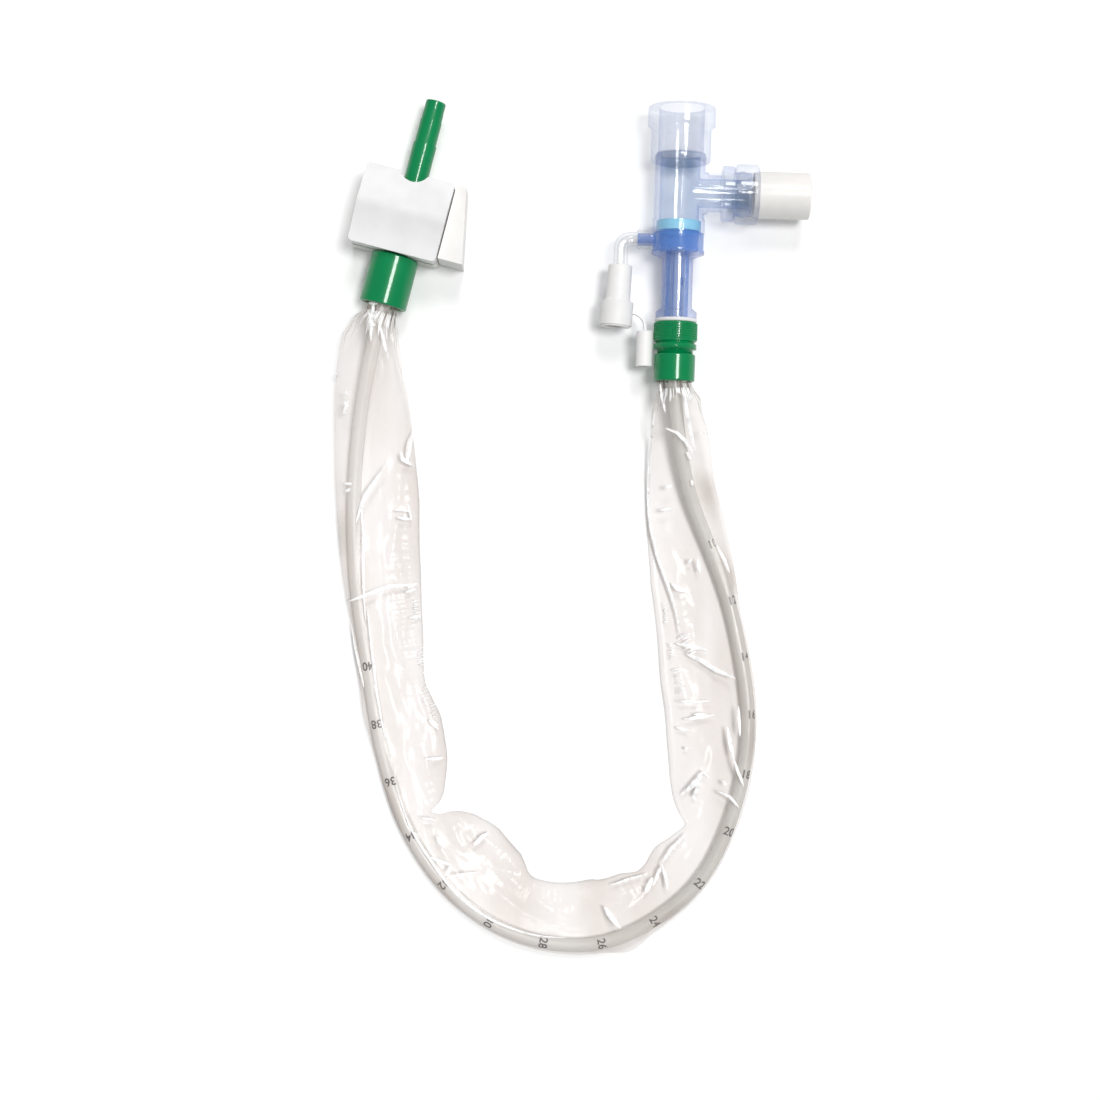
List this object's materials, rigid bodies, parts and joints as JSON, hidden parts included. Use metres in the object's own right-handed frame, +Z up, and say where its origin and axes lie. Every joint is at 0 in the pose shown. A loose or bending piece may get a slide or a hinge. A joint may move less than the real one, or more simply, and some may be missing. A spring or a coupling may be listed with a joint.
{
  "type": "closed suction catheter",
  "caption": "Closed suction catheter: a catheter in a clear film sleeve, with a swivel T-piece for the airway at one end and a thumb valve for the suction line at the other.",
  "frame": {"origin": "centre of the patient port's mouth, on the T-piece's axis", "axes": "+Y leaves the patient port, +X leaves the side branch towards the ventilator, +Z up from the surface it lies on, which is 11.3 mm below the origin"},
  "size_m": [0.1569, 0.287, 0.0226],
  "materials": {
    "clear_lilac_plastic": "moulded, clear with a faint lilac tint",
    "clear_blue_plastic": "moulded, clear light blue",
    "ivory_plastic": "moulded, satin ivory",
    "cyan_rubber": "moulded, satin",
    "dark_blue_plastic": "moulded, polished deep blue, slightly see-through",
    "clear_plastic": "moulded, clear",
    "soft_white_plastic": "soft moulded vinyl, satin",
    "silicone": "milky silicone",
    "white_plastic": "moulded, satin white",
    "green_plastic": "moulded, glossy green",
    "catheter_vinyl": "satin, milky",
    "film": "thin clear glossy film"
  },
  "bodies": {
    "device": {"t_piece_body": "clear_blue_plastic", "seal_ring": "cyan_rubber", "catheter_guide": "dark_blue_plastic", "irrigation_elbow": "clear_plastic", "irrigation_port": "soft_white_plastic", "irrigation_valve": "silicone", "irrigation_cap": "soft_white_plastic", "seal_washer": "white_plastic", "front_nut": "green_plastic", "front_seal": "silicone", "front_collar": "green_plastic", "catheter_tube": "catheter_vinyl", "sleeve": "film", "valve_body": "green_plastic", "valve_base": "white_plastic", "plunger_seal": "silicone", "return_bellows": "silicone", "rear_collar": "green_plastic"},
    "patient_swivel": {"patient_swivel": "clear_lilac_plastic"},
    "side_swivel": {"side_swivel": "clear_lilac_plastic", "circuit_adapter": "ivory_plastic"},
    "thumb_button": {"thumb_button": "white_plastic", "valve_plunger": "white_plastic"}
  },
  "joints": [
    {"name": "patient_swivel_turn", "type": "hinge", "parent": "device", "child": "patient_swivel", "pos_m": [0, -0.017, 0], "axis": [0, 1, 0], "continuous": true},
    {"name": "side_swivel_turn", "type": "hinge", "parent": "device", "child": "side_swivel", "pos_m": [0.022, -0.0285, 0], "axis": [1, 0, 0], "continuous": true},
    {"name": "thumb_travel", "type": "slide", "parent": "device", "child": "thumb_button", "axis": [0, 0, -1], "range_m": [0, 0.003], "stiffness_N_per_m": 1500, "springref_m": -0.0008, "deforming": ["return_bellows"]}
  ]
}
